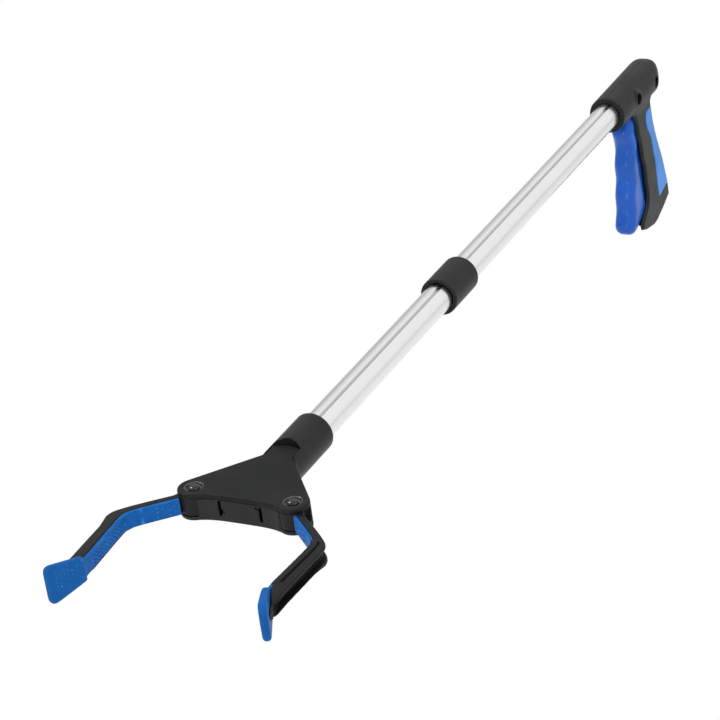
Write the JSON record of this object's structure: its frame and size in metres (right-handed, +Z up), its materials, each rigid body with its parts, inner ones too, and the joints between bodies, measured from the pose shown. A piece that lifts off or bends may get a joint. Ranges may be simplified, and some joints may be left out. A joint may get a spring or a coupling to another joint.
{
  "type": "reacher grabber",
  "caption": "Folding reacher grabber: pistol handle with finger trigger, grooved aluminium shaft with a middle fold hinge, and a flat head with rubber-padded jaws.",
  "frame": {"origin": "on the head's flat underside, midway between the two jaw pivots", "axes": "+X along the shaft from the handle to the jaws, +Y to the user's left, +Z up, away from the trigger"},
  "size_m": [0.8123, 0.1442, 0.1296],
  "materials": {
    "black_plastic": "satin moulded black",
    "rivet": "black lacquered steel",
    "blue_plastic": "glossy royal blue",
    "jaw_rubber": "matte blue rubber",
    "soft_insert": "satin light blue soft plastic",
    "aluminium": "satin anodised silver",
    "steel": "zinc plated",
    "cord": "braided cord"
  },
  "bodies": {
    "upper": {"handle_shell_left": "black_plastic", "handle_shell_right": "black_plastic", "grip_insert": "soft_insert", "handle_screw_front": "steel", "handle_screw_rear": "steel", "grip_screw": "steel", "trigger_pivot_pin": "steel", "tube_retaining_pin": "steel", "tube_end_bush": "black_plastic", "upper_tube": "aluminium", "upper_ferrule": "black_plastic", "hinge_pin": "steel"},
    "trigger": {"trigger": "blue_plastic", "trigger_link_pin": "steel"},
    "rod": {"pull_rod_upper": "steel", "cord_crimp_upper": "steel", "fold_cord": "cord"},
    "sleeve": {"lock_sleeve": "black_plastic"},
    "lower": {"lower_tube": "aluminium", "lower_ferrule": "black_plastic", "head_housing": "black_plastic", "head_cover": "black_plastic", "socket_screw": "steel", "jaw_rivet_left": "rivet", "jaw_rivet_right": "rivet", "jaw_spring": "steel"},
    "yoke": {"yoke": "black_plastic", "cord_crimp_yoke": "steel", "pull_cord_lower": "cord", "cord_crimp_lower": "steel"},
    "jaw_left": {"jaw_arm_left": "black_plastic", "drive_pin_left": "steel", "jaw_pad_left": "jaw_rubber"},
    "jaw_right": {"jaw_arm_right": "black_plastic", "drive_pin_right": "steel", "jaw_pad_right": "jaw_rubber"}
  },
  "joints": [
    {"name": "fold", "type": "hinge", "parent": "upper", "child": "lower", "pos_m": [-0.2892, 0, 0.01734], "axis": [0, -1, 0], "range_deg": [0, 160], "deforming": ["fold_cord"]},
    {"name": "sleeve_slide", "type": "slide", "parent": "upper", "child": "sleeve", "axis": [-1, 0, 0], "range_m": [0, 0.163]},
    {"name": "trigger_squeeze", "type": "hinge", "parent": "upper", "child": "trigger", "pos_m": [-0.6514, 0, 0.01334], "axis": [0, 1, 0], "range_deg": [0, 13]},
    {"name": "rod_slide", "type": "slide", "parent": "upper", "child": "rod", "axis": [-1, 0, 0], "range_m": [0, 0.0063]},
    {"name": "yoke_slide", "type": "slide", "parent": "lower", "child": "yoke", "axis": [-1, 0, 0], "range_m": [0, 0.0063], "deforming": ["jaw_spring"]},
    {"name": "jaw_left_swing", "type": "hinge", "parent": "lower", "child": "jaw_left", "pos_m": [0, 0.0333, 0.00884], "axis": [0, 0, -1], "range_deg": [0, 34.5]},
    {"name": "jaw_right_swing", "type": "hinge", "parent": "lower", "child": "jaw_right", "pos_m": [0, -0.0333, 0.00884], "axis": [0, 0, 1], "range_deg": [0, 34.5]}
  ],
  "couplings": [
    {"joint": "sleeve_slide", "follows": "fold", "m_per_rad": 0.058},
    {"joint": "rod_slide", "follows": "trigger_squeeze", "m_per_rad": 0.027},
    {"joint": "yoke_slide", "follows": "trigger_squeeze", "m_per_rad": 0.027},
    {"joint": "jaw_left_swing", "follows": "trigger_squeeze", "ratio": 2.6385},
    {"joint": "jaw_right_swing", "follows": "trigger_squeeze", "ratio": 2.6385}
  ]
}
